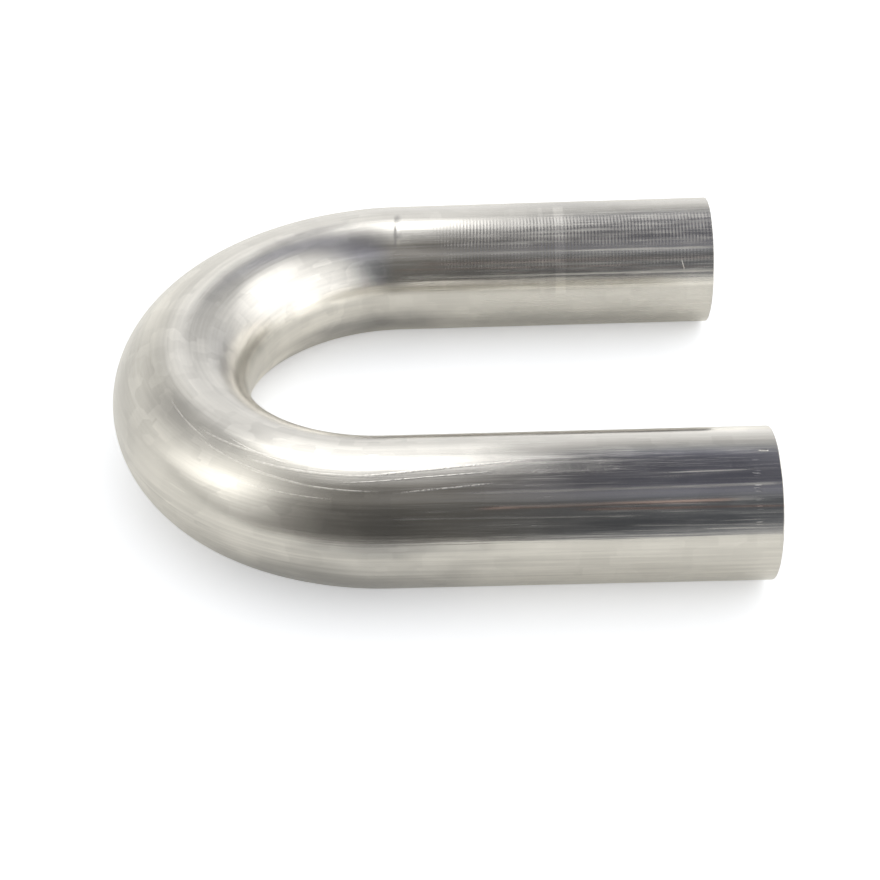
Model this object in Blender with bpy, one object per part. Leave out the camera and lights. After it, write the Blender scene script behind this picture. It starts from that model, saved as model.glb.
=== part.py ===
"""A 180 degree return bend: one round thin-walled steel tube, mandrel bent into a U and cut square.

The bend lies flat on the ground, z = 0, with both legs pointing along +X. The origin is on the
ground under the middle of the bend's bounding box. All sizes are in metres and radians.
"""

import math

import bmesh
import bpy
from mathutils import Matrix, Vector

# The tube as it comes, before it is bent
TUBE_DIAMETER = 0.0635
WALL = 0.0015

# The bend and its two straight legs
BEND_RADIUS = 0.098  # from the bend's centre to the tube's centre line
BEND_ANGLE = math.radians(180)
LEG_LENGTH = 0.1585  # from the end of the bend to the cut face

# What bending does to the section
WALL_FLOW = 0.70  # share of the full stretch that thins the outer wall and thickens the inner one
BACK_FLATTENING = 0.0006  # how far the back of the bend is drawn in from a true circle
ONSET_ANGLE = math.radians(18)  # stretch of bend over which both grow from nothing

# The saw-cut ends
DEBURR = 0.0002  # chamfer on both rims of a cut face
DEBURR_STEPS = 1
RIM_ANGLE = math.radians(60)  # only the rims turn more sharply than this

# Facets
SECTION_SIDES = 48
BEND_STEPS = 40
LEG_STEPS = 2

# The steel
STEEL_COLOUR = (0.60, 0.585, 0.545, 1.0)
STEEL_ROUGHNESS = 0.24

OUTER_RADIUS = TUBE_DIAMETER / 2
MIDDLE_RADIUS = OUTER_RADIUS - WALL / 2
FIRST_TRAVEL = Vector((-LEG_LENGTH, 0.0, 0.0))
SECOND_TRAVEL = Matrix.Rotation(-BEND_ANGLE, 3, "Z") @ FIRST_TRAVEL
FULL_TURN = math.radians(360)


def clear_scene():
    for obj in list(bpy.data.objects):
        bpy.data.objects.remove(obj)


def stainless_steel():
    """Bare polished stainless steel with a faint warm tint."""
    material = bpy.data.materials.new("stainless_steel")
    material.use_nodes = True
    shader = material.node_tree.nodes["Principled BSDF"]
    shader.inputs["Base Color"].default_value = STEEL_COLOUR
    shader.inputs["Metallic"].default_value = 1.0
    shader.inputs["Roughness"].default_value = STEEL_ROUGHNESS
    return material


def section_faces(bm):
    """The tube's section, a flat ring of faces, on the cut face of the leg at -Y."""
    upright = Matrix.Rotation(math.radians(90), 4, "Y")
    made = bmesh.ops.create_circle(
        bm,
        cap_ends=True,
        segments=SECTION_SIDES,
        radius=OUTER_RADIUS,
        matrix=Matrix.Translation((LEG_LENGTH, -BEND_RADIUS, 0.0)) @ upright,
    )
    disc = made["verts"][0].link_faces[0]
    ring = bmesh.ops.inset_individual(bm, faces=[disc], thickness=WALL)
    bmesh.ops.delete(bm, geom=[disc], context="FACES_ONLY")
    return ring["faces"]


def draw_straight(bm, section, travel):
    """Sweeps the section along a leg in equal steps and returns it at each one, first to last."""
    sections = [section]
    for _ in range(LEG_STEPS):
        made = bmesh.ops.extrude_face_region(bm, geom=sections[-1], use_keep_orig=True)["geom"]
        moved = [item for item in made if isinstance(item, bmesh.types.BMVert)]
        bmesh.ops.translate(bm, verts=moved, vec=travel / LEG_STEPS)
        sections.append([item for item in made if isinstance(item, bmesh.types.BMFace)])
    return sections


def draw_round(bm, section):
    """Sweeps the section round the bend's centre and returns where it ends up."""
    made = bmesh.ops.spin(
        bm,
        geom=section,
        cent=(0.0, 0.0, 0.0),
        axis=(0.0, 0.0, 1.0),
        angle=-BEND_ANGLE,
        steps=BEND_STEPS,
    )
    return [item for item in made["geom_last"] if isinstance(item, bmesh.types.BMFace)]


def onset(along):
    """How far the bend's section has formed, from 0 where the bend starts to 1 inside it."""
    share = min(1.0, max(0.0, min(along, BEND_ANGLE - along) / ONSET_ANGLE))
    return share * share * (3.0 - 2.0 * share)


def wall_radius(outside, around, formed):
    """The radius of one wall. around is 0 at the back of the bend and pi on its inner side."""
    back = max(0.0, math.cos(around))
    outer = OUTER_RADIUS - BACK_FLATTENING * formed * back**2
    if outside:
        return outer
    stretch = WALL_FLOW * formed * MIDDLE_RADIUS / BEND_RADIUS * math.cos(around)
    return outer - WALL / (1.0 + stretch)


def form_bend(bm):
    """Gives the bent part its real section: a thin back, a thick inner side and a flattened back."""
    for vert in bm.verts:
        along = math.atan2(-vert.co.x, -vert.co.y) % FULL_TURN
        if along > BEND_ANGLE:
            continue
        heading = Vector((vert.co.x, vert.co.y, 0.0)).normalized()
        centre = heading * BEND_RADIUS
        sideways = (vert.co - centre).dot(heading)
        around = math.atan2(vert.co.z, sideways)
        outside = math.hypot(vert.co.z, sideways) > MIDDLE_RADIUS
        radius = wall_radius(outside, around, onset(along))
        offset = heading * math.cos(around) + Vector((0.0, 0.0, math.sin(around)))
        vert.co = centre + offset * radius


def deburr_ends(bm):
    """Breaks the sharp rims, inside and out, of both cut faces."""
    rims = [edge for edge in bm.edges if edge.calc_face_angle() > RIM_ANGLE]
    bmesh.ops.bevel(
        bm,
        geom=rims,
        offset=DEBURR,
        offset_type="OFFSET",
        segments=DEBURR_STEPS,
        affect="EDGES",
    )


def return_bend_mesh():
    mesh = bpy.data.meshes.new("return_bend")
    bm = bmesh.new()
    first_leg = draw_straight(bm, section_faces(bm), FIRST_TRAVEL)
    second_leg = draw_straight(bm, draw_round(bm, first_leg[-1]), SECOND_TRAVEL)
    inside_the_wall = [face for section in first_leg[1:] + second_leg[:-1] for face in section]
    bmesh.ops.delete(bm, geom=inside_the_wall, context="FACES")
    bmesh.ops.recalc_face_normals(bm, faces=bm.faces)
    form_bend(bm)
    deburr_ends(bm)
    bm.to_mesh(mesh)
    bm.free()
    mesh.shade_smooth()
    mesh.set_sharp_from_angle(angle=RIM_ANGLE / 2)
    return mesh


def place_on_ground(obj):
    """Centres the object over the origin and rests it on the ground."""
    points = [vert.co for vert in obj.data.vertices]
    middle_x, middle_y = ((min(p[axis] for p in points) + max(p[axis] for p in points)) / 2 for axis in (0, 1))
    lowest = min(p.z for p in points)
    obj.location = (-middle_x, -middle_y, -lowest)


def build_return_bend():
    """The finished bend, in steel, in its place."""
    mesh = return_bend_mesh()
    mesh.materials.append(stainless_steel())
    bend = bpy.data.objects.new("return_bend", mesh)
    bpy.context.scene.collection.objects.link(bend)
    place_on_ground(bend)
    return bend


clear_scene()
build_return_bend()
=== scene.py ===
"""The return bend as the photo shows it: a bare, polished stainless tube lying on a pale floor."""

import math

import bpy
from mathutils import Matrix, Vector, noise


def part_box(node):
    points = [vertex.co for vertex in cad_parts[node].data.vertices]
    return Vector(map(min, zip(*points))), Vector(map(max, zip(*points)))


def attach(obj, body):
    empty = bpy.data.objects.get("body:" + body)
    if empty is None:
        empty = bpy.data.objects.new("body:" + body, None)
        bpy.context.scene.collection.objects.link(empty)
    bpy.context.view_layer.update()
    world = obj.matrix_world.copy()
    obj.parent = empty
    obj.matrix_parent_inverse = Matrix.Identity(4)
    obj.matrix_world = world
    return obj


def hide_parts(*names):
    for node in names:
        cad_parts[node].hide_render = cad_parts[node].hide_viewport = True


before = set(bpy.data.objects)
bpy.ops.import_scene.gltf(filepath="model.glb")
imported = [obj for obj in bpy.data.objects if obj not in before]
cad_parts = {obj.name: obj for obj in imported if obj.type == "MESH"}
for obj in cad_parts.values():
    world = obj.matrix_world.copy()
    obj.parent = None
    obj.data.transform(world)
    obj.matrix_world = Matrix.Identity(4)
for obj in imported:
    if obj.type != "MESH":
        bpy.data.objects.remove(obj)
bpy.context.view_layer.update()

# The tube, in metres, from the frame where the frame gives it
LOW, HIGH = (Vector(corner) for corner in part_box("return_bend"))
OUTER_RADIUS = (HIGH.z - LOW.z) / 2
BEND_RADIUS = (HIGH.y - LOW.y) / 2 - OUTER_RADIUS
BACK_FLATTENING = 0.0006  # how far the back of the bend is drawn in from a true circle
LEG_LENGTH = HIGH.x - LOW.x - BEND_RADIUS - OUTER_RADIUS + BACK_FLATTENING
BEND_X = HIGH.x - LEG_LENGTH  # where both legs run into the bend
WALL = 0.0015
BORE_RADIUS = OUTER_RADIUS - WALL
WALL_FLOW = 0.70  # share of the full stretch that thins the outer wall and thickens the inner one
ONSET_LENGTH = math.radians(18) * BEND_RADIUS  # the stretch over which the bend forms its section
RIM = 0.0002
RIM_MIDDLE = 0.3  # where the middle of a rounded rim lies, as a share of its size

# Lengths along the centre line, from the cut end of the near leg
BEND_START = LEG_LENGTH
BEND_END = LEG_LENGTH + math.pi * BEND_RADIUS
FULL_LENGTH = BEND_END + LEG_LENGTH

# The facets of the visible surface
AROUND = 120
COARSE_STEP = 0.0025
BORE_STEP = 0.004
SUPPORT_STEP = 0.0003  # rings beside the rims, so that the rim's turn doesn't shade the tube
SHARP_ANGLE = math.radians(35)
UV_MAP = "TubeMetres"
BORE_SHIFT = 1.0  # the bore's place on the UV map, clear of the outer surface and its marks

# Chatter ribs that a roller left across the far leg
RIB_PITCH = 0.00168
RIB_STEPS = 5
RIB_HEIGHT = 0.000016
RIB_START = BEND_END + 0.019
RIB_END = FULL_LENGTH - 0.0015
RIB_RISE = (RIB_START + 0.008, RIB_START + 0.026)  # they grow to their full height along here
RIB_FALL = (RIB_END - 0.006, RIB_END)
FAINT_RIBS = 0.15  # share of the full height that they have before
RIB_TOP_EDGE = (math.radians(99), math.radians(112))  # they fade in over these angles round the tube
RIB_LOW_EDGE = (math.radians(138), math.radians(170))  # and out over these
RIB_MEAN = 0.75
RIB_SWING = 0.6  # how far the height wanders from its mean, from place to place
RIB_CELLS_ALONG = 45.0  # noise cells a metre
RIB_CELLS_AROUND = 1.3  # and a radian
RIB_NOISE_LAYER = 4.0
PLAIN_BAND = BEND_END + 0.0825  # a narrow ring that the roller left out
PLAIN_BAND_WIDTH = 0.0036
PLAIN_BAND_EDGE = 0.0006

# The clamp's mark where the far leg meets the bend
CLAMP_MARK_AT = BEND_END + 0.001
CLAMP_MARK_WIDTH = 0.0016
CLAMP_MARK_DEPTH = 0.00007
CLAMP_MARK_STEP = 0.00028
CLAMP_MARK_FROM = math.radians(95)
CLAMP_MARK_TO = math.radians(128)
CLAMP_MARK_EDGE = math.radians(6)
CLAMP_BITES = 2
CLAMP_BITE_SWING = 0.4  # how far the pressure falls off on both sides of its mean, from bite to gap

# Steel
STEEL = (0.608, 0.590, 0.552, 1.0)
BROWN_STEEL = (0.620, 0.470, 0.400, 1.0)
# The grey that the painted shade patches mix into the steel, and how much light it takes away
PAINTED_SHADE_STEEL = (0.300, 0.294, 0.286, 1.0)
PAINTED_SHADE_LOSS = 0.5  # share of the light taken away where the painted shade is full
LEG_ROUGHNESS = 0.115
BEND_ROUGHNESS = 0.25
RIBBED_ROUGHNESS = 0.20
RIBBED_ONSET = 0.04
BORE_ROUGHNESS = 0.46  # the inside was never polished
CLOUD_ROUGHNESS = 0.08  # more in a cloud than between clouds
BORE_CLOUD_ROUGHNESS = 0.12
BEND_FADE = 0.05  # length over which the legs' finish turns into the bend's

# Noise on the steel: cells a metre along the tube, cells a metre round it, and detail
LINES = (14.0, 620.0, 3.0)
FINE_LINES = (36.0, 2100.0, 2.0)
HAIRLINES = (38.0, 2500.0, 1.0)
WAVES = (9.0, 95.0, 1.0)
CLOUDS = (35.0, 50.0, 3.0)
TEETH = (650.0, 500.0, 2.0)
SPECKS = (2100.0, 3600.0, 1.0)
BREAKS = (60.0, 300.0, 2.0)

# What the noise makes: the levels between which a mark grows, and its strength below them
HAIRLINES_SHOW = (0.52, 0.68, 0.0)
STREAKS_SHOW = (0.42, 0.72, 0.0)
TEETH_SHOW = (0.35, 0.60, 0.35)
BROWN_SHOWS = (0.30, 0.55, 0.40)
SPECKS_SHOW = (0.58, 0.75, 0.0)
RIBS_SHOW = (0.35, 0.65, 0.35)
DASHES_SHOW = (0.42, 0.62, 0.0)

# What each mark adds to the roughness, to the lightness and to the height of the bump
ROUGHER = {
    "bend": BEND_ROUGHNESS - LEG_ROUGHNESS,
    "ribbed": RIBBED_ROUGHNESS - LEG_ROUGHNESS,
    "streaks": 0.10,
    "clouds": CLOUD_ROUGHNESS,
    "hairlines": 0.09,
    "brown": 0.10,
    "small_marks": 0.30,
    "ribs": 0.14,
    "scratches": 0.22,
    "dull": 0.18,
}
LIGHTER = {
    "clouds": 0.14,
    "hairlines": 0.05,
    "legs": -0.05,
    # Painted light and shade: the valleys between the ribs are painted lighter than their crests
    "ribs": 0.16,
    "scratches": 0.30,
    "dashes": 0.45,
    "specks": 0.30,
}
HIGHER = {
    "fine_lines": 0.35,
    "waves": 1.6,
    "scratches": -1.1,
    "small_marks": 4.0,
}
BUMP_HEIGHT = 0.00004
FAINT_MARKS = 0.30  # strength of the dashes and specks beside the nicks
PLAIN_LIGHTNESS = 0.92
LIGHTEST = 1.6
STREAK_LIGHTNESS = 0.22
PALE_STREAK_LIGHTNESS = 0.30  # more on the pale outer side
PALE_SIDE = (0.0, 24.0)  # it ends over these angles round the tube

# Small squares that the polishing belt left
PATCHES_ALONG = 95.0
PATCHES_AROUND = 130.0
PATCH_RANDOMNESS = 0.8
LEG_PATCHES = 0.07  # how much they differ in lightness
BEND_PATCHES = 0.13

# Marks and painted highlights on the steel, each a stroke: start (metres along, degrees round), end,
# half width in metres.
# Degrees round are 0 on the outer side, 90 on top and 180 on the inner side.
STROKE_FADE = 0.012  # length over which each end of a stroke fades out
STROKE_FADE_WIDTHS = 4.0  # or this many of its half widths, if that is longer
SCRATCHES = (
    ((0.104, 76.5), (0.166, 66.4), 0.00070),
    ((0.158, 66.6), (0.206, 66.3), 0.00080),
    ((0.117, 67.5), (0.168, 61.4), 0.00040),
    ((0.162, 54.8), (0.188, 56.8), 0.00040),
    ((0.181, 56.0), (0.228, 64.8), 0.00050),
    ((0.187, 57.2), (0.207, 59.4), 0.00050),
    ((0.205, 73.0), (0.231, 71.7), 0.00060),
    ((0.196, 71.2), (0.217, 75.6), 0.00035),
    ((0.177, 48.2), (0.206, 48.5), 0.00040),
    ((0.116, 58.3), (0.149, 53.6), 0.00040),
    ((0.232, 67.9), (0.254, 72.6), 0.00045),
)
DULL_LINES = (
    ((0.002, 53.5), (0.120, 52.0), 0.0011),
    ((0.010, 43.0), (0.112, 41.5), 0.0008),
    ((0.060, 33.0), (0.150, 34.5), 0.0006),
    ((0.000, 24.5), (0.060, 26.0), 0.0005),
    ((0.492, 137.5), (0.624, 138.5), 0.0010),
    ((0.470, 158.0), (0.624, 159.5), 0.0007),
    ((0.008, 28.5), (0.024, 28.0), 0.0004),
    ((0.012, 22.5), (0.030, 22.5), 0.0004),
    ((0.014, 64.5), (0.040, 64.0), 0.0005),
)
PAINTED_HIGHLIGHT_LINES = (  # painted highlights and reflections; the last number is how much lighter
    ((0.470, 169.9), (0.626, 171.3), 0.0018, 0.30),
    ((0.470, 164.5), (0.626, 165.5), 0.0045, 0.20),
    ((0.470, 138.8), (0.626, 140.2), 0.0024, 0.30),
    ((0.435, 148.0), (0.626, 150.0), 0.0150, 0.16),
    ((0.422, 130.0), (0.492, 142.0), 0.0160, 0.46),
    ((0.360, 108.5), (0.440, 114.5), 0.0055, 0.30),
    ((0.385, 170.0), (0.440, 171.5), 0.0045, 0.26),
    ((0.250, 142.0), (0.312, 163.0), 0.0075, 0.60),
    ((0.302, 163.5), (0.360, 165.0), 0.0055, 0.50),
    ((0.350, 165.0), (0.455, 167.5), 0.0055, 0.50),
    ((0.275, 168.0), (0.440, 196.0), 0.0110, 0.22),
    ((0.300, 206.0), (0.440, 213.0), 0.0070, 0.40),
    ((0.000, 112.5), (0.205, 119.0), 0.0070, 0.55),
    ((0.112, 90.5), (0.205, 92.5), 0.0060, 0.36),
    ((0.008, 80.0), (0.066, 81.5), 0.0050, 0.26),
    ((0.198, 46.0), (0.244, 42.0), 0.0060, 0.20),
    ((0.084, 58.0), (0.150, 56.0), 0.0055, 0.26),
    ((0.136, -9.0), (0.170, -8.0), 0.0085, 0.14),
)
BROWN_LINES = (
    ((0.020, 42.8), (0.118, 40.8), 0.0013),
    ((0.000, 37.5), (0.080, 38.5), 0.0010),
)
FAINT_BROWN = 0.35
FAINT_BROWN_LINES = (
    ((0.480, 146.0), (0.624, 146.5), 0.0022),
    ((0.466, 151.0), (0.590, 152.5), 0.0012),
    ((0.520, 156.5), (0.624, 155.0), 0.0010),
)
NICKS = (  # short, bright and sharp-edged
    ((0.0045, 80.6), (0.0076, 80.9), 0.00055),
    ((0.6091, 150.5), (0.6101, 157.5), 0.00085),
)

# Marked stretches of the tube: start and end in metres along it, then in degrees round it.
# Their fades are the widths of the soft edges, along and round.
DASHES = (0.0085, 0.0108, 24.0, 74.0)  # a column of short dashes near the cut end of the near leg
DASHES_FADE = (0.0012, 6.0)
SPECKLES = (0.068, 0.118, 66.0, 77.0)  # worn steel on the near leg
SPECKLES_FADE = (0.02, 5.0)
WIDE_TRACK = (RIB_START + 0.004, RIB_END, 102.0, 134.0)  # of the rollers that left the ribs
NARROW_TRACK = (RIB_START + 0.004, RIB_END, 138.0, 152.0)
TRACK_FADE = (0.008, 5.0)
NARROW_TRACK_STRENGTH = 0.5

# The shape of the dashes. Noise cells are a degree.
DASH_PITCH = 2.2  # degrees
DASH_EDGE = (0.1, 0.8)  # parts of a cosine wave between which a dash starts
DASH_RAGGEDNESS = 0.004
DASH_RAGGED_CELLS = 0.7
DASH_WORN_CELLS = 0.45
DASH_WORN_PLACE = 3.0

# Rings that the roller skipped
LIGHT_RINGS = (  # start and end along the tube, and how much lighter
    (0.5462, 0.5512, 0.22),
    (0.5385, 0.5405, 0.10),
    (0.5240, 0.5330, 0.05),
)
RING_FADE = 0.0008
RING_ANGLES = (85.0, 176.0)
RING_ANGLE_FADE = 8.0

# Painted shade: grey patches that darken the steel where its reflections should be darker, such as where
# it mirrors the tube's shadow on the floor, and in the clamp's two notches
PAINTED_SHADE_PATCHES = (  # middle (metres along, degrees round), reach along and round, share of light lost
    (0.172, -45.0, 0.070, 85.0, 0.40),
    (0.045, 27.5, 0.080, 7.0, 0.24),
    (0.555, 113.0, 0.085, 13.0, 0.12),
    (0.285, 42.0, 0.060, 48.0, 0.22),
    (0.270, 95.0, 0.070, 30.0, 0.10),
    (0.236, 68.0, 0.040, 24.0, 0.26),
    (0.226, 86.0, 0.030, 14.0, 0.18),
    (0.296, 136.0, 0.050, 28.0, 0.34),
    (0.160, 26.0, 0.032, 22.0, 0.18),
    (0.150, 11.5, 0.046, 9.0, 0.32),
    (0.080, 72.0, 0.032, 10.0, 0.36),
    (0.416, 100.0, 0.034, 8.0, 0.32),
    (0.4675, 98.0, 0.0024, 9.0, 0.34),
    (0.4675, 118.0, 0.0030, 7.0, 0.34),
    (0.440, 209.0, 0.075, 26.0, 0.45),
    (0.545, 212.0, 0.090, 20.0, 0.20),
    (0.556, 80.0, 0.042, 20.0, 0.20),
)
SHADE_PATCH_EDGE = (0.1, 1.05)  # shares of the reach between which a patch of painted shade thins out
SHADE_PATCH_RAGGEDNESS = 0.7

# Softboxes of the studio: azimuth and elevation of the middle, roll, half width, half height,
# softness across, softness along and brightness. Azimuth 0 is the camera's side and 90 is +X.
# Sizes are tangents of the angle from the middle.
SOFTBOXES = (
    (-77.3, 38.1, 37.3, 0.256, 0.503, 0.346, 0.80, 2.06),
    (63.7, 8.5, 54.5, 2.5, 0.645, 1.2, 0.658, 1.86),
    (-160.3, 62.4, -19.8, 0.172, 0.364, 0.059, 0.80, 1.50),
    (-160.8, 62.4, -19.8, 0.145, 0.210, 0.040, 0.060, 1.50),
)
NEARLY_ZERO = 0.001

# The room that the metal shows. Rises are angles up from the camera's side, over the top.
DARK_SIDE = 0.13
UNDER_CAMERA = 0.354
UNDER_CAMERA_ENDS = (math.radians(-8.0), math.radians(2.0))
STRAIGHT_DOWN = math.radians(-90.0)
HIGH_BAR = 0.15
HIGH_BAR_ANGLE = math.radians(58.0)
HIGH_BAR_REACH = math.radians(16.0)
CEILING = 0.66
CEILING_RISE = (math.radians(80.0), math.radians(135.0))
GAP_CEILING_RISE = (math.radians(112.0), math.radians(150.0))
GAP_STARTS = (-0.16, 0.04)  # a gap in the ceiling's light, along X
GAP_ENDS = (0.14, 0.34)
BRIGHT_WALL = 1.20
WALL_HEADING = math.radians(-21.1)
WALL_REACH = (-0.838, 1.186)
WALL_TOP = (0.239, 0.718)

# Tints of what the metal shows
COOL_TINT = (0.94, 1.0, 1.13, 1.0)  # of the dark side, to the right
BLUE_TINT = (0.97, 1.0, 1.28, 1.0)  # above it, up to overhead
WARM_TINT = (1.04, 1.0, 0.93, 1.0)  # of the dark side, to the left
WARM_WHITE = (1.01, 1.0, 0.955, 1.0)  # of the bright side, to the left
WHITE = (1.0, 1.0, 1.0, 1.0)
BLUE_HEIGHT = (0.70, 0.88)
WARM_TO_COOL = (-0.05, 0.12)
WARM_TO_WHITE = (-0.6, 0.0)
DARK_TO_BRIGHT = (0.1, 0.75)

# Plain light for all that isn't metal
SIDE_LIGHT = 0.80  # how much more comes from the right than from above
BACK_LIGHT = 0.40  # and from behind the tube

# The floor is a pale sheet whose front edge lies outside the camera's view
FLOOR_NEAR_LEFT = Vector((-0.29, -0.25, 0.0))
FLOOR_NEAR_RIGHT = Vector((0.30, -0.474, 0.0))
FLOOR_HALF = 3.0
FLOOR_COLOUR = (0.93, 0.945, 0.97, 1.0)
MIRRORED_FLOOR_COLOUR = (0.98, 0.97, 0.92, 1.0)
FLOOR_GLOW = 0.36
MIRRORED_FLOOR_GLOW = 0.11

# Camera, as fitted to the photo's outline. The photo is 880 pixels wide.
CAMERA_TARGET = Vector((0.00798, -0.05001, 0.03175))
CAMERA_DISTANCE = 0.6452
CAMERA_AZIMUTH = math.radians(2.18)
CAMERA_ELEVATION = math.radians(37.39)
CAMERA_ROLL = math.radians(-2.815)
SENSOR_WIDTH = 36.0
FOCAL_LENGTH = 59.95


def smooth(low, high, value):
    """0 below low, 1 above high, and an even ramp between."""
    share = min(1.0, max(0.0, (value - low) / (high - low)))
    return share * share * (3.0 - 2.0 * share)


def centre_line(along):
    """The tube's centre at this length, and the level direction from the bend's centre outwards."""
    turned = min(max(along - BEND_START, 0.0), BEND_END - BEND_START) / BEND_RADIUS
    heading = Vector((-math.sin(turned), -math.cos(turned), 0.0))
    straight = max(BEND_START - along, 0.0) + max(along - BEND_END, 0.0)
    point = Vector((BEND_X + straight, 0.0, LOW.z + OUTER_RADIUS)) + heading * BEND_RADIUS
    return point, heading


def formed(along):
    """How far the bend has formed its section here, from 0 in the legs to 1 inside the bend."""
    return smooth(0.0, ONSET_LENGTH, min(along - BEND_START, BEND_END - along))


def rib_strength(along, around):
    """Where the chatter ribs are, and how deep: they fade in and out along and around the tube."""
    if not RIB_START < along < RIB_END:
        return 0.0
    place = Vector((along * RIB_CELLS_ALONG, around * RIB_CELLS_AROUND, RIB_NOISE_LAYER))
    patchy = RIB_MEAN + RIB_SWING * noise.noise(place)
    rise = FAINT_RIBS + (1.0 - FAINT_RIBS) * smooth(*RIB_RISE, along)
    fall = 1.0 - smooth(*RIB_FALL, along)
    touched = smooth(*RIB_TOP_EDGE, around) * (1.0 - smooth(*RIB_LOW_EDGE, around))
    beside_band = abs(along - PLAIN_BAND) - PLAIN_BAND_WIDTH / 2
    outside_band = smooth(-PLAIN_BAND_EDGE, PLAIN_BAND_EDGE, beside_band)
    return patchy * touched * rise * fall * outside_band


def clamp_pressure(around):
    """How hard the clamp pressed here: on one stretch of the inner side, in a few bites."""
    share = (around - CLAMP_MARK_FROM) / (CLAMP_MARK_TO - CLAMP_MARK_FROM)
    bite = math.cos(CLAMP_BITES * 2.0 * math.pi * share)
    pressure = 1.0 - CLAMP_BITE_SWING + CLAMP_BITE_SWING * bite
    rise = smooth(CLAMP_MARK_FROM - CLAMP_MARK_EDGE, CLAMP_MARK_FROM + CLAMP_MARK_EDGE, around)
    fall = 1.0 - smooth(CLAMP_MARK_TO - CLAMP_MARK_EDGE, CLAMP_MARK_TO + CLAMP_MARK_EDGE, around)
    return pressure * rise * fall


def relief(along, around):
    """How far the outer surface stands proud of the true section."""
    rib = math.cos(2.0 * math.pi * (along - RIB_START) / RIB_PITCH)
    height = RIB_HEIGHT * rib * rib_strength(along, around)
    from_mark = abs(along - CLAMP_MARK_AT) / CLAMP_MARK_WIDTH
    if from_mark < 1.0:
        dent = (1.0 - from_mark * from_mark) ** 2
        height -= CLAMP_MARK_DEPTH * dent * clamp_pressure(around)
    return height


def section_radius(along, around):
    """The outside of the true section, drawn in at the back of the bend."""
    back = max(0.0, math.cos(around))
    return OUTER_RADIUS - BACK_FLATTENING * formed(along) * back**2


def outer_radius(along, around):
    return section_radius(along, around) + relief(along, around)


def bore_radius(along, around):
    middle = OUTER_RADIUS - WALL / 2
    stretch = WALL_FLOW * formed(along) * middle / BEND_RADIUS * math.cos(around)
    return section_radius(along, around) - WALL / (1.0 + stretch)


def evenly(start, end, step):
    """Lengths from start to just before end, in equal steps of about this size."""
    count = max(1, round((end - start) / step))
    return [start + (end - start) * index / count for index in range(count)]


def outer_stations():
    """Where the outer surface has its rings: close together where its relief is fine."""
    mark_start = CLAMP_MARK_AT - CLAMP_MARK_WIDTH - CLAMP_MARK_STEP
    mark_end = CLAMP_MARK_AT + CLAMP_MARK_WIDTH + CLAMP_MARK_STEP
    return [
        RIM,
        RIM + SUPPORT_STEP,
        *evenly(RIM + 2.0 * SUPPORT_STEP, BEND_START, COARSE_STEP),
        *evenly(BEND_START, mark_start, COARSE_STEP),
        *evenly(mark_start, mark_end, CLAMP_MARK_STEP),
        *evenly(mark_end, RIB_START, COARSE_STEP),
        *evenly(RIB_START, RIB_END, RIB_PITCH / RIB_STEPS),
        RIB_END,
        FULL_LENGTH - RIM - SUPPORT_STEP,
        FULL_LENGTH - RIM,
    ]


def ring(along, radius_at):
    """One ring of points round the tube. Around is 0 on the outer side and a quarter turn on top."""
    centre, heading = centre_line(along)
    points = []
    for index in range(AROUND):
        around = 2.0 * math.pi * index / AROUND - math.pi / 2
        offset = heading * math.cos(around) + Vector((0.0, 0.0, math.sin(around)))
        points.append(centre + offset * radius_at(along, around))
    return points


def rim_rings(end, inward):
    """The rings round one deburred end, from the outer surface to the bore."""
    middle = RIM * RIM_MIDDLE
    profile = (
        (end + inward * middle, OUTER_RADIUS - middle),
        (end, OUTER_RADIUS - RIM),
        (end, BORE_RADIUS + RIM),
        (end + inward * middle, BORE_RADIUS + middle),
    )
    return [(along, 0.0, ring(along, lambda *_, size=radius: size)) for along, radius in profile]


def tube_rings():
    """Every ring in order: out along the surface, round the far rim, back along the bore.

    Each is (length, how far its place on the UV map is shifted, points).
    """
    bore = [*evenly(RIM, FULL_LENGTH - RIM, BORE_STEP), FULL_LENGTH - RIM]
    return [
        *((along, 0.0, ring(along, outer_radius)) for along in outer_stations()),
        *rim_rings(FULL_LENGTH, -1.0),
        *((along, BORE_SHIFT, ring(along, bore_radius)) for along in reversed(bore)),
        *reversed(rim_rings(0.0, 1.0)),
    ]


def tube_mesh():
    """The closed tube, with a UV map that measures metres along it and round it."""
    rings = tube_rings()
    points = [tuple(point) for _, _, circle in rings for point in circle]
    faces = []
    corners = []
    for number, (along, shift, _) in enumerate(rings):
        following = (number + 1) % len(rings)
        along_next, shift_next, _ = rings[following]
        start, end = (length + min(shift, shift_next) for length in (along, along_next))
        here, there = number * AROUND, following * AROUND
        for index in range(AROUND):
            neighbour = (index + 1) % AROUND
            low, high = (OUTER_RADIUS * 2.0 * math.pi * step / AROUND for step in (index, index + 1))
            faces.append((here + index, there + index, there + neighbour, here + neighbour))
            corners += [(start, low), (end, low), (end, high), (start, high)]
    mesh = bpy.data.meshes.new("polished_tube")
    mesh.from_pydata(points, [], faces)
    uv_map = mesh.uv_layers.new(name=UV_MAP)
    for loop, corner in zip(uv_map.data, corners):
        loop.uv = corner
    mesh.shade_smooth()
    mesh.set_sharp_from_angle(angle=SHARP_ANGLE)
    return mesh


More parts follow.
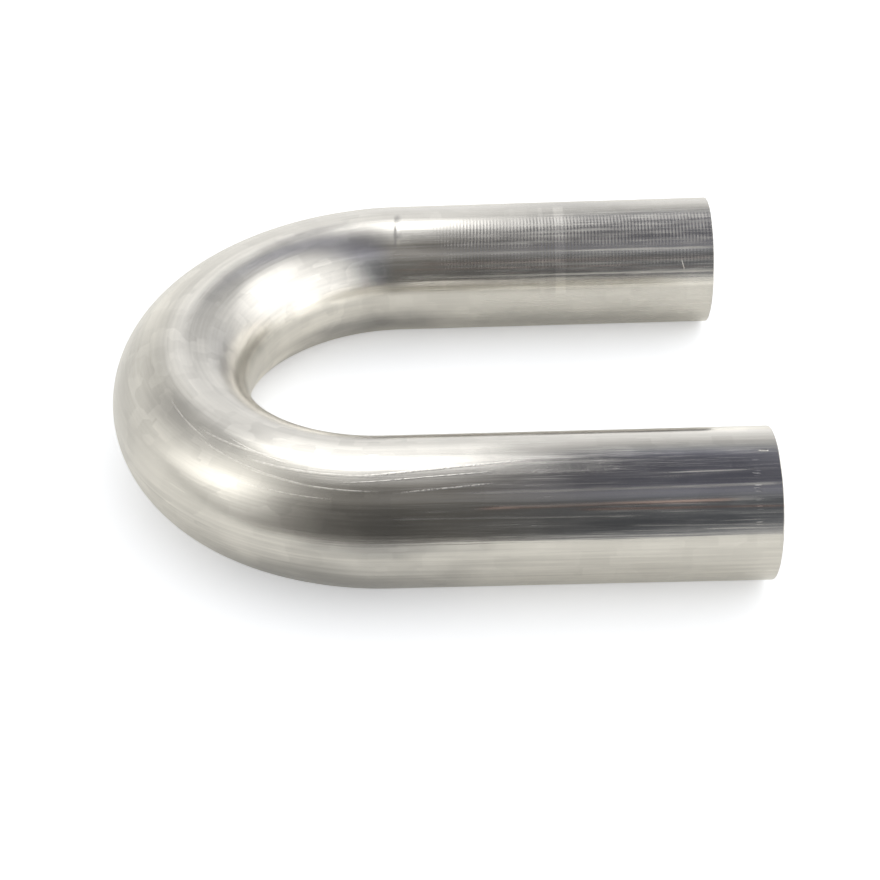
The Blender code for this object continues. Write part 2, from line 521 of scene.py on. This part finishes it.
class Graph:
    """Adds shader nodes to one tree, so that a formula reads as one."""

    def __init__(self, tree):
        self.tree = tree
        self.tree.nodes.clear()

    def node(self, kind, **settings):
        made = self.tree.nodes.new(kind)
        for name, value in settings.items():
            setattr(made, name, value)
        return made

    def put(self, socket, value):
        if isinstance(value, bpy.types.NodeSocket):
            self.tree.links.new(value, socket)
        else:
            socket.default_value = value

    def output(self, kind, surface):
        self.put(self.node(kind).inputs["Surface"], surface)

    def math(self, operation, *values):
        made = self.node("ShaderNodeMath", operation=operation)
        for socket, value in zip(made.inputs, values):
            self.put(socket, value)
        return made.outputs[0]

    def dot(self, first, second):
        made = self.node("ShaderNodeVectorMath", operation="DOT_PRODUCT")
        self.put(made.inputs[0], first)
        self.put(made.inputs[1], second)
        return made.outputs["Value"]

    def place(self, x, y):
        made = self.node("ShaderNodeCombineXYZ")
        self.put(made.inputs["X"], x)
        self.put(made.inputs["Y"], y)
        return made.outputs["Vector"]

    def split(self, vector):
        made = self.node("ShaderNodeSeparateXYZ")
        self.put(made.inputs["Vector"], vector)
        return [made.outputs[axis] for axis in "XYZ"]

    def mix(self, factor, first, second):
        made = self.node("ShaderNodeMix", data_type="RGBA")
        self.put(made.inputs["Factor"], factor)
        self.put(made.inputs["A"], first)
        self.put(made.inputs["B"], second)
        return made.outputs["Result"]

    def noise(self, place, scale, detail=3.0):
        made = self.node("ShaderNodeTexNoise")
        self.put(made.inputs["Vector"], place)
        self.put(made.inputs["Scale"], scale)
        self.put(made.inputs["Detail"], detail)
        return made.outputs["Fac"]

    def ramp(self, value, low, high, start=0.0, end=1.0):
        """start below low, end above high, and a smooth change between."""
        made = self.node("ShaderNodeMapRange", interpolation_type="SMOOTHSTEP")
        self.put(made.inputs["Value"], value)
        self.put(made.inputs["From Min"], low)
        self.put(made.inputs["From Max"], high)
        self.put(made.inputs["To Min"], start)
        self.put(made.inputs["To Max"], end)
        return made.outputs["Result"]

    def between(self, value, start, end, fade):
        """1 between start and end and 0 outside, with soft ends."""
        return self.math(
            "MULTIPLY",
            self.ramp(value, start - fade / 2, start + fade / 2),
            self.ramp(value, end - fade / 2, end + fade / 2, 1.0, 0.0),
        )

    def add_all(self, level, patterns, gains):
        """A level with each pattern that has a gain added to it, times that gain."""
        for name, gain in gains.items():
            level = self.math("MULTIPLY_ADD", patterns[name], gain, level)
        return level


class Surface(Graph):
    """A graph that knows its place on the tube: metres along it, and metres and degrees round it."""

    def __init__(self, tree):
        super().__init__(tree)
        uv = self.node("ShaderNodeUVMap", uv_map=UV_MAP)
        self.along, self.around, _ = self.split(uv.outputs["UV"])
        self.degrees = self.math("MULTIPLY_ADD", self.around, math.degrees(1.0) / OUTER_RADIUS, -90.0)

    def stretched(self, per_metre_along, per_metre_around):
        return self.place(
            self.math("MULTIPLY", self.along, per_metre_along),
            self.math("MULTIPLY", self.around, per_metre_around),
        )

    def pattern(self, per_metre_along, per_metre_around, detail):
        return self.noise(self.stretched(per_metre_along, per_metre_around), 1.0, detail)

    def window(self, along, bounds, fades):
        """1 in one stretch of the tube, between two lengths and two angles round it."""
        start, end, lowest, highest = bounds
        fade_along, fade_round = fades
        return self.math(
            "MULTIPLY",
            self.between(along, start, end, fade_along),
            self.between(self.degrees, lowest, highest, fade_round),
        )


def strokes(steel, marks):
    """1 on thin straight strokes over the unrolled tube and 0 elsewhere."""
    metres_per_degree = math.radians(1.0) * OUTER_RADIUS
    total = 0.0
    for (start, first), (end, last), half_width in marks:
        slope = (last - first) / (end - start)
        line = steel.math("MULTIPLY_ADD", steel.along, slope, first - slope * start)
        off = steel.math("ABSOLUTE", steel.math("SUBTRACT", steel.degrees, line))
        across = steel.ramp(off, 0.0, half_width / metres_per_degree, 1.0, 0.0)
        fade = min(max(STROKE_FADE, half_width * STROKE_FADE_WIDTHS), (end - start) / 2.0)
        mark = steel.math("MULTIPLY", across, steel.between(steel.along, start, end, fade))
        total = steel.math("MAXIMUM", total, mark)
    return total


def painted_shade_share(steel, clouds):
    """0 on unshaded steel, and up to 1 where the patches paint in shade."""
    unshaded = 1.0
    ragged = steel.math("MULTIPLY_ADD", clouds, SHADE_PATCH_RAGGEDNESS, -SHADE_PATCH_RAGGEDNESS / 2)
    for middle, angle, reach, angle_reach, loss in PAINTED_SHADE_PATCHES:
        far_along = steel.math("DIVIDE", steel.math("SUBTRACT", steel.along, middle), reach)
        far_round = steel.math("DIVIDE", steel.math("SUBTRACT", steel.degrees, angle), angle_reach)
        reached = steel.node("ShaderNodeVectorMath", operation="LENGTH")
        steel.put(reached.inputs[0], steel.place(far_along, far_round))
        distance = steel.math("ADD", reached.outputs["Value"], ragged)
        kept = steel.ramp(distance, *SHADE_PATCH_EDGE, 1.0 - loss / PAINTED_SHADE_LOSS, 1.0)
        unshaded = steel.math("MULTIPLY", unshaded, kept)
    return steel.math("SUBTRACT", 1.0, unshaded)


def dash_column(steel):
    """1 on a column of short dashes across the tube."""
    phase = steel.math("MULTIPLY", steel.degrees, 2.0 * math.pi / DASH_PITCH)
    dashes = steel.ramp(steel.math("COSINE", phase), *DASH_EDGE)
    wander = steel.noise(steel.place(0.0, steel.degrees), DASH_RAGGED_CELLS)
    centred = steel.math("SUBTRACT", wander, 0.5)
    ragged = steel.math("MULTIPLY_ADD", centred, DASH_RAGGEDNESS, steel.along)
    worn_noise = steel.noise(steel.place(DASH_WORN_PLACE, steel.degrees), DASH_WORN_CELLS)
    worn = steel.ramp(worn_noise, *DASHES_SHOW)
    shown = steel.math("MULTIPLY", steel.window(ragged, DASHES, DASHES_FADE), worn)
    return steel.math("MULTIPLY", dashes, shown)


def speckles(steel):
    """1 on fine bright specks along one worn stretch of the near leg."""
    specks = steel.ramp(steel.pattern(*SPECKS), *SPECKS_SHOW)
    return steel.math("MULTIPLY", specks, steel.window(steel.along, SPECKLES, SPECKLES_FADE))


def rib_shading(steel):
    """1 in the valleys between chatter ribs and 0 on their crests, and 0 outside the rollers' tracks."""
    per_metre = 2.0 * math.pi / RIB_PITCH
    phase = steel.math("MULTIPLY_ADD", steel.along, per_metre, -per_metre * RIB_START)
    valley = steel.math("MULTIPLY_ADD", steel.math("COSINE", phase), -0.5, 0.5)
    broken = steel.math("MULTIPLY", valley, steel.ramp(steel.pattern(*BREAKS), *RIBS_SHOW))
    wide = steel.window(steel.along, WIDE_TRACK, TRACK_FADE)
    narrow = steel.window(steel.along, NARROW_TRACK, TRACK_FADE)
    tracks = steel.math("MULTIPLY_ADD", narrow, NARROW_TRACK_STRENGTH, wide)
    return steel.math("MULTIPLY", broken, tracks)


def brown_lines(steel, lines):
    """1 on the brown lines, less on the faint ones, and broken up along the polishing lines."""
    faint = steel.math("MULTIPLY", strokes(steel, FAINT_BROWN_LINES), FAINT_BROWN)
    brown = steel.math("MAXIMUM", strokes(steel, BROWN_LINES), faint)
    return steel.math("MULTIPLY", brown, steel.ramp(lines, *BROWN_SHOWS))


def steel_patterns(steel):
    """Every pattern on the steel by name, each from 0 to 1."""
    bend = steel.between(steel.along, BEND_START, BEND_END, BEND_FADE)
    legs = steel.math("SUBTRACT", 1.0, bend)
    lines = steel.pattern(*LINES)
    hairlines = steel.ramp(steel.pattern(*HAIRLINES), *HAIRLINES_SHOW)
    teeth = steel.ramp(steel.pattern(*TEETH), *TEETH_SHOW)
    dashes = dash_column(steel)
    specks = speckles(steel)
    faint_marks = steel.math("ADD", dashes, specks)
    return {
        "bend": bend,
        "legs": legs,
        "ribbed": steel.ramp(steel.along, RIB_START, RIB_START + RIBBED_ONSET),
        "lines": lines,
        "fine_lines": steel.pattern(*FINE_LINES),
        "hairlines": steel.math("MULTIPLY", hairlines, legs),
        "streaks": steel.math("MULTIPLY", steel.ramp(lines, *STREAKS_SHOW), legs),
        "waves": steel.pattern(*WAVES),
        "clouds": steel.pattern(*CLOUDS),
        "ribs": rib_shading(steel),
        "scratches": steel.math("MULTIPLY", strokes(steel, SCRATCHES), teeth),
        "dull": strokes(steel, DULL_LINES),
        "brown": brown_lines(steel, lines),
        "dashes": dashes,
        "specks": specks,
        "small_marks": steel.math("MULTIPLY_ADD", faint_marks, FAINT_MARKS, strokes(steel, NICKS)),
    }


def steel_roughness(steel, patterns):
    """Smooth legs, a duller bend and ribbed stretch with all their marks, and a plain, dull bore."""
    outside = steel.add_all(LEG_ROUGHNESS - CLOUD_ROUGHNESS / 2, patterns, ROUGHER)
    plain = BORE_ROUGHNESS - BORE_CLOUD_ROUGHNESS / 2
    inside = steel.math("MULTIPLY_ADD", patterns["clouds"], BORE_CLOUD_ROUGHNESS, plain)
    in_bore = steel.math("GREATER_THAN", steel.along, BORE_SHIFT - RIM)
    return steel.math("MULTIPLY_ADD", in_bore, steel.math("SUBTRACT", inside, outside), outside)


def polishing_patches(steel, bend):
    """How much lighter or darker than the rest each small square is."""
    cells = steel.node("ShaderNodeTexVoronoi", distance="CHEBYCHEV")
    steel.put(cells.inputs["Vector"], steel.stretched(PATCHES_ALONG, PATCHES_AROUND))
    steel.put(cells.inputs["Scale"], 1.0)
    steel.put(cells.inputs["Randomness"], PATCH_RANDOMNESS)
    level, _, _ = steel.split(cells.outputs["Color"])
    strength = steel.math("MULTIPLY_ADD", bend, BEND_PATCHES - LEG_PATCHES, LEG_PATCHES)
    return steel.math("MULTIPLY", steel.math("SUBTRACT", level, 0.5), strength)


def painted_highlights_and_rings(steel):
    """1 on plain steel, and higher on the painted highlights and reflections along lines and on the
    rings that the roller skipped.
    """
    light = 1.0
    # Painted highlights and reflections, one stroke at a time
    for *line, gain in PAINTED_HIGHLIGHT_LINES:
        light = steel.math("MULTIPLY_ADD", strokes(steel, [line]), gain, light)
    upper = steel.between(steel.degrees, *RING_ANGLES, RING_ANGLE_FADE)
    for start, end, gain in LIGHT_RINGS:
        skipped = steel.math("MULTIPLY", steel.between(steel.along, start, end, RING_FADE), upper)
        light = steel.math("MULTIPLY_ADD", skipped, gain, light)
    return light


def steel_colour(steel, patterns):
    """Faintly warm steel, brown where it is stained, grey where shade is painted in, lighter on painted
    highlights, and lighter or darker with its marks.
    """
    brown = steel.mix(patterns["brown"], STEEL, BROWN_STEEL)
    # Painted shade: grey mixed into the steel's colour where the shade patches lie
    tint = steel.mix(painted_shade_share(steel, patterns["clouds"]), brown, PAINTED_SHADE_STEEL)
    patchy = steel.math("ADD", polishing_patches(steel, patterns["bend"]), PLAIN_LIGHTNESS)
    pale_side = steel.ramp(steel.degrees, *PALE_SIDE, 1.0, 0.0)
    streaky = steel.math("MULTIPLY_ADD", pale_side, PALE_STREAK_LIGHTNESS, STREAK_LIGHTNESS)
    streaks = steel.math("SUBTRACT", patterns["lines"], 0.5)
    mottled = steel.math("MULTIPLY_ADD", streaks, streaky, patchy)
    mottled = steel.add_all(mottled, patterns, LIGHTER)
    shade = steel.math("MULTIPLY", mottled, painted_highlights_and_rings(steel))
    shaded = steel.node("ShaderNodeVectorMath", operation="SCALE")
    steel.put(shaded.inputs[0], tint)
    steel.put(shaded.inputs["Scale"], steel.math("MINIMUM", shade, LIGHTEST))
    return shaded.outputs["Vector"]


def steel_bump(steel, patterns):
    bump = steel.node("ShaderNodeBump")
    bump.inputs["Distance"].default_value = BUMP_HEIGHT
    bump.inputs["Strength"].default_value = 1.0
    steel.put(bump.inputs["Height"], steel.add_all(patterns["lines"], patterns, HIGHER))
    return bump.outputs["Normal"]


def new_material(name, kind):
    """A new material, and the graph that fills its tree."""
    material = bpy.data.materials.new(name)
    material.use_nodes = True
    return material, kind(material.node_tree)


def steel_material():
    material, steel = new_material("stainless_steel", Surface)
    patterns = steel_patterns(steel)
    shader = steel.node("ShaderNodeBsdfPrincipled")
    shader.inputs["Metallic"].default_value = 1.0
    steel.put(shader.inputs["Roughness"], steel_roughness(steel, patterns))
    steel.put(shader.inputs["Base Color"], steel_colour(steel, patterns))
    steel.put(shader.inputs["Normal"], steel_bump(steel, patterns))
    steel.output("ShaderNodeOutputMaterial", shader.outputs["BSDF"])
    return material


def add_object(name, data):
    made = bpy.data.objects.new(name, data)
    bpy.context.scene.collection.objects.link(made)
    return made


def build_tube():
    mesh = tube_mesh()
    mesh.materials.append(steel_material())
    tube = add_object("polished_tube", mesh)
    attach(tube, "root")
    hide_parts("return_bend")


def aimed(azimuth, elevation, roll):
    """Right, up and outward directions of what stands at this azimuth and elevation."""
    outward = Vector((
        math.sin(azimuth) * math.cos(elevation),
        -math.cos(azimuth) * math.cos(elevation),
        math.sin(elevation),
    ))
    level = Vector((math.cos(azimuth), math.sin(azimuth), 0.0))
    upright = outward.cross(level)
    right = math.cos(roll) * level + math.sin(roll) * upright
    up = math.cos(roll) * upright - math.sin(roll) * level
    return right, up, outward


def softbox(graph, direction, box):
    """How bright one softbox is in this direction."""
    *angles, half_width, half_height, across, along, brightness = box
    right, up, middle = aimed(*(math.radians(angle) for angle in angles))
    forward = graph.dot(direction, tuple(middle))
    reach = graph.math("MAXIMUM", forward, NEARLY_ZERO)
    shape = graph.math("GREATER_THAN", forward, 0.0)
    for axis, half, softness in ((right, half_width, across), (up, half_height, along)):
        aside = graph.math("DIVIDE", graph.dot(direction, tuple(axis)), reach)
        off = graph.math("ABSOLUTE", aside)
        within = graph.ramp(off, half - softness, half + softness, 1.0, 0.0)
        shape = graph.math("MULTIPLY", shape, within)
    return graph.math("MULTIPLY", shape, brightness)


def camera_side_level(graph, rise):
    """Dark, with a faint high bar and some light from under the camera."""
    off_bar = graph.math("ABSOLUTE", graph.math("SUBTRACT", rise, HIGH_BAR_ANGLE))
    bar = graph.ramp(off_bar, 0.0, HIGH_BAR_REACH, 1.0, 0.0)
    level = graph.math("MULTIPLY_ADD", bar, HIGH_BAR, DARK_SIDE)
    in_front = graph.math("GREATER_THAN", rise, STRAIGHT_DOWN)
    low = graph.math("MULTIPLY", graph.ramp(rise, *UNDER_CAMERA_ENDS, 1.0, 0.0), in_front)
    return graph.math("MULTIPLY_ADD", low, UNDER_CAMERA - DARK_SIDE, level)


def ceiling_share(graph, rise, to_right):
    """1 where the ceiling is lit. Its light starts further back in the gap."""
    gap_starts = graph.ramp(to_right, *GAP_STARTS)
    gap = graph.math("MULTIPLY", gap_starts, graph.ramp(to_right, *GAP_ENDS, 1.0, 0.0))
    beside_gap = graph.math("SUBTRACT", 1.0, gap)
    lit = graph.math("MULTIPLY", graph.ramp(rise, *CEILING_RISE), beside_gap)
    return graph.math("MULTIPLY_ADD", graph.ramp(rise, *GAP_CEILING_RISE), gap, lit)


def room_level(graph, direction):
    """The room without its softboxes: a dark camera side, a ceiling and a bright far wall."""
    to_right, away, height = graph.split(direction)
    rise = graph.math("ARCTAN2", height, graph.math("MULTIPLY", away, -1.0))
    level = camera_side_level(graph, rise)
    ceiling = ceiling_share(graph, rise, to_right)
    level = graph.math("MULTIPLY_ADD", ceiling, CEILING - DARK_SIDE, level)
    to_wall = graph.dot(direction, (math.sin(WALL_HEADING), math.cos(WALL_HEADING), 0.0))
    under_top = graph.ramp(height, *WALL_TOP, 1.0, 0.0)
    wall = graph.math("MULTIPLY", graph.ramp(to_wall, *WALL_REACH), under_top)
    return graph.math("MULTIPLY_ADD", wall, graph.math("SUBTRACT", BRIGHT_WALL, level), level)


def room_tint(graph, direction, level):
    """Cool or blue to the right and warm to the left, and fainter where the room is bright."""
    to_right, _, height = graph.split(direction)
    right_tint = graph.mix(graph.ramp(height, *BLUE_HEIGHT), COOL_TINT, BLUE_TINT)
    dark_tint = graph.mix(graph.ramp(to_right, *WARM_TO_COOL), WARM_TINT, right_tint)
    bright_tint = graph.mix(graph.ramp(to_right, *WARM_TO_WHITE), WARM_WHITE, WHITE)
    return graph.mix(graph.ramp(level, *DARK_TO_BRIGHT), dark_tint, bright_tint)


def ray_kinds(graph):
    """1 for camera rays, for diffuse rays, and for rays that metal or glass sends on."""
    rays = graph.node("ShaderNodeLightPath").outputs
    mirrored = graph.math("MAXIMUM", rays["Is Glossy Ray"], rays["Is Transmission Ray"])
    return rays["Is Camera Ray"], rays["Is Diffuse Ray"], mirrored


def build_studio():
    """Metal sees softboxes and a darker camera side. Other surfaces get plain white light."""
    world = bpy.data.worlds.new("studio")
    bpy.context.scene.world = world
    world.use_nodes = True
    graph = Graph(world.node_tree)
    direction = graph.node("ShaderNodeTexCoord").outputs["Generated"]
    level = room_level(graph, direction)
    for box in SOFTBOXES:
        level = graph.math("ADD", level, softbox(graph, direction, box))
    _, diffuse, mirrored = ray_kinds(graph)
    more_light = graph.dot(direction, (SIDE_LIGHT, BACK_LIGHT, 0.0))
    plain = graph.math("MULTIPLY_ADD", more_light, diffuse, 1.0)
    difference = graph.math("SUBTRACT", level, plain)
    colour = graph.mix(mirrored, WHITE, room_tint(graph, direction, level))
    background = graph.node("ShaderNodeBackground")
    graph.put(background.inputs["Color"], colour)
    graph.put(background.inputs["Strength"], graph.math("MULTIPLY_ADD", mirrored, difference, plain))
    graph.output("ShaderNodeOutputWorld", background.outputs["Background"])


def floor_material():
    """Pale, and white where nothing shades it, both to the camera and in the metal."""
    material, graph = new_material("pale_floor", Graph)
    camera, _, mirrored = ray_kinds(graph)
    diffuse = graph.node("ShaderNodeBsdfDiffuse")
    graph.put(diffuse.inputs["Color"], graph.mix(mirrored, FLOOR_COLOUR, MIRRORED_FLOOR_COLOUR))
    glow = graph.node("ShaderNodeEmission")
    graph.put(glow.inputs["Color"], WHITE)
    seen = graph.math("MULTIPLY", camera, FLOOR_GLOW)
    graph.put(glow.inputs["Strength"], graph.math("MULTIPLY_ADD", mirrored, MIRRORED_FLOOR_GLOW, seen))
    both = graph.node("ShaderNodeAddShader")
    graph.put(both.inputs[0], diffuse.outputs["BSDF"])
    graph.put(both.inputs[1], glow.outputs["Emission"])
    graph.output("ShaderNodeOutputMaterial", both.outputs["Shader"])
    return material


def build_floor():
    mesh = bpy.data.meshes.new("pale_floor")
    corners = (
        (-FLOOR_HALF, FLOOR_NEAR_LEFT.y, LOW.z),
        (FLOOR_NEAR_LEFT.x, FLOOR_NEAR_LEFT.y, LOW.z),
        (FLOOR_NEAR_RIGHT.x, FLOOR_NEAR_RIGHT.y, LOW.z),
        (FLOOR_HALF, FLOOR_NEAR_RIGHT.y, LOW.z),
        (FLOOR_HALF, FLOOR_HALF, LOW.z),
        (-FLOOR_HALF, FLOOR_HALF, LOW.z),
    )
    mesh.from_pydata(corners, [], [tuple(range(len(corners)))])
    mesh.materials.append(floor_material())
    floor = add_object("pale_floor", mesh)


def build_camera():
    right, up, back = aimed(CAMERA_AZIMUTH, CAMERA_ELEVATION, CAMERA_ROLL)
    camera = add_object("camera", bpy.data.cameras.new("camera"))
    camera.data.lens = FOCAL_LENGTH
    camera.data.sensor_width = SENSOR_WIDTH
    camera.data.sensor_fit = "HORIZONTAL"
    turn = Matrix((right, up, back)).transposed().to_4x4()
    camera.matrix_world = Matrix.Translation(CAMERA_TARGET + back * CAMERA_DISTANCE) @ turn
    bpy.context.scene.camera = camera


build_camera()
build_studio()
build_floor()
build_tube()
bpy.context.scene.view_settings.view_transform = "Standard"
